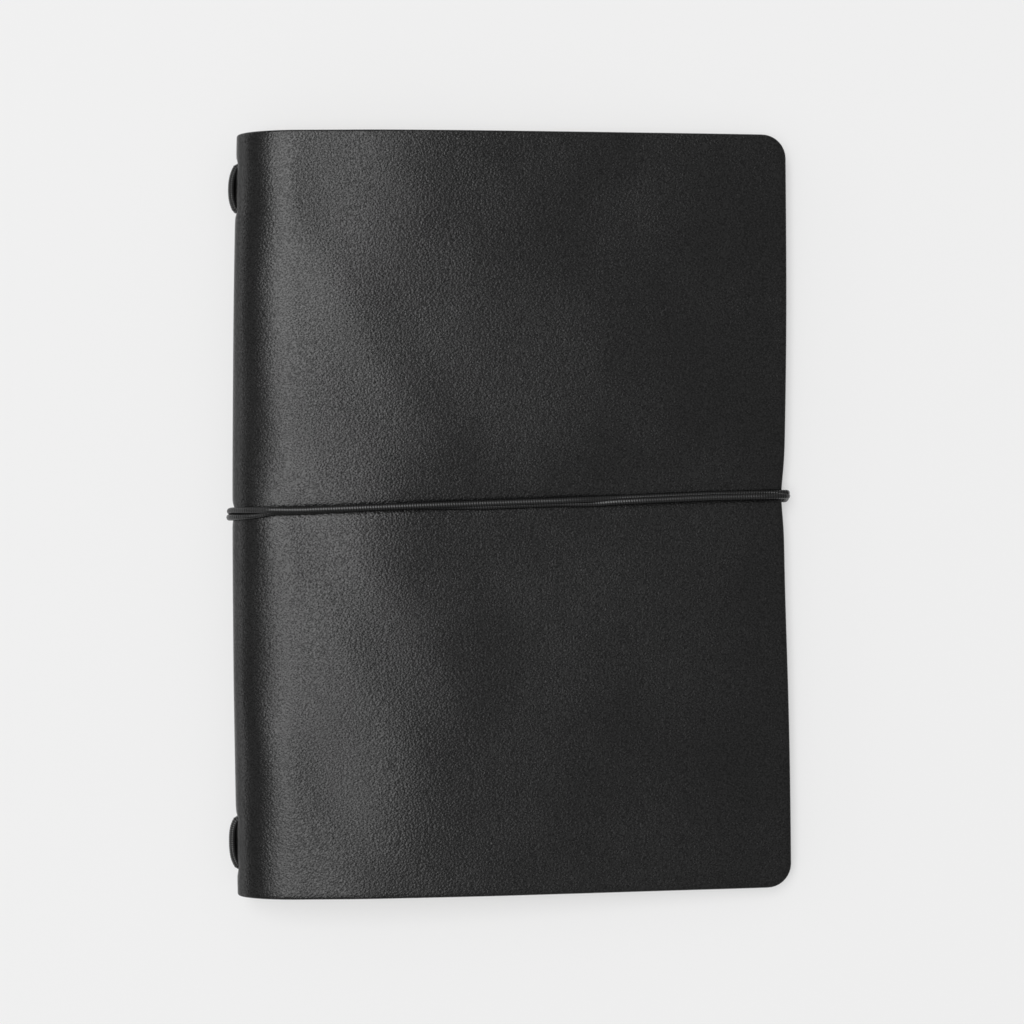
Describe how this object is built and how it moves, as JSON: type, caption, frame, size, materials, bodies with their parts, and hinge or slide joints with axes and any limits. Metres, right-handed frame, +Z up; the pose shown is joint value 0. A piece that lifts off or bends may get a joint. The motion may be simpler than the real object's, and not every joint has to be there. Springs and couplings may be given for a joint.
{
  "type": "leather notebook cover",
  "caption": "Soft black leather notebook cover with elastic spine cord and wrap-round elastic closure, holding one thin stapled booklet; opens flat.",
  "frame": {"origin": "middle of the whole object's outline, on the surface that the closed notebook lies on", "axes": "+X from the spine to the fore-edge, +Y from the tail to the head, +Z up through the front cover"},
  "size_m": [0.1642, 0.22, 0.0178],
  "materials": {
    "leather": "fine pebbled black hide, satin",
    "elastic": "braided black elastic, matte",
    "card": "kraft card, matte",
    "leaves": "cream paper, matte",
    "staple": "plain steel wire"
  },
  "bodies": {
    "back": {"cover_back": "leather", "cover_fold_back": "leather"},
    "spine": {"cover_spine": "leather", "spine_cord": "elastic", "spine_cord_knot_head": "elastic", "spine_cord_knot_tail": "elastic", "closure_knot": "elastic", "staple_head": "staple", "staple_tail": "staple"},
    "front": {"cover_front": "leather", "cover_fold_front": "leather"},
    "booklet_back": {"booklet_card_back": "card", "booklet_leaves_back": "leaves"},
    "booklet_front": {"booklet_card_front": "card", "booklet_leaves_front": "leaves"},
    "closure": {"closure_elastic": "elastic"}
  },
  "joints": [
    {"name": "spine_fold", "type": "hinge", "parent": "back", "child": "spine", "pos_m": [-0.077, 0, 0.006], "axis": [0, -1, 0], "range_deg": [0, 78], "deforming": ["cover_fold_back"]},
    {"name": "front_fold", "type": "hinge", "parent": "spine", "child": "front", "pos_m": [-0.077, 0, 0.0105], "axis": [0, -1, 0], "range_deg": [0, 105.01], "deforming": ["cover_fold_front"]},
    {"name": "booklet_back_turn", "type": "hinge", "parent": "spine", "child": "booklet_back", "pos_m": [-0.0715, 0, 0.00825], "axis": [0, -1, 0], "range_deg": [-79.31, 0]},
    {"name": "booklet_front_turn", "type": "hinge", "parent": "spine", "child": "booklet_front", "pos_m": [-0.0715, 0, 0.00825], "axis": [0, -1, 0], "range_deg": [0, 106.17]},
    {"name": "closure_swing", "type": "hinge", "parent": "spine", "child": "closure", "pos_m": [-0.0801, 0.001, 0.00825], "axis": [0, 0, 1], "range_deg": [-91.43, 0], "deforming": ["closure_elastic"]}
  ],
  "couplings": [
    {"joint": "front_fold", "follows": "spine_fold", "ratio": 1.3462},
    {"joint": "booklet_back_turn", "follows": "spine_fold", "ratio": -1.0167},
    {"joint": "booklet_front_turn", "follows": "spine_fold", "ratio": 1.361},
    {"joint": "closure_swing", "follows": "spine_fold", "ratio": -1.1721}
  ]
}
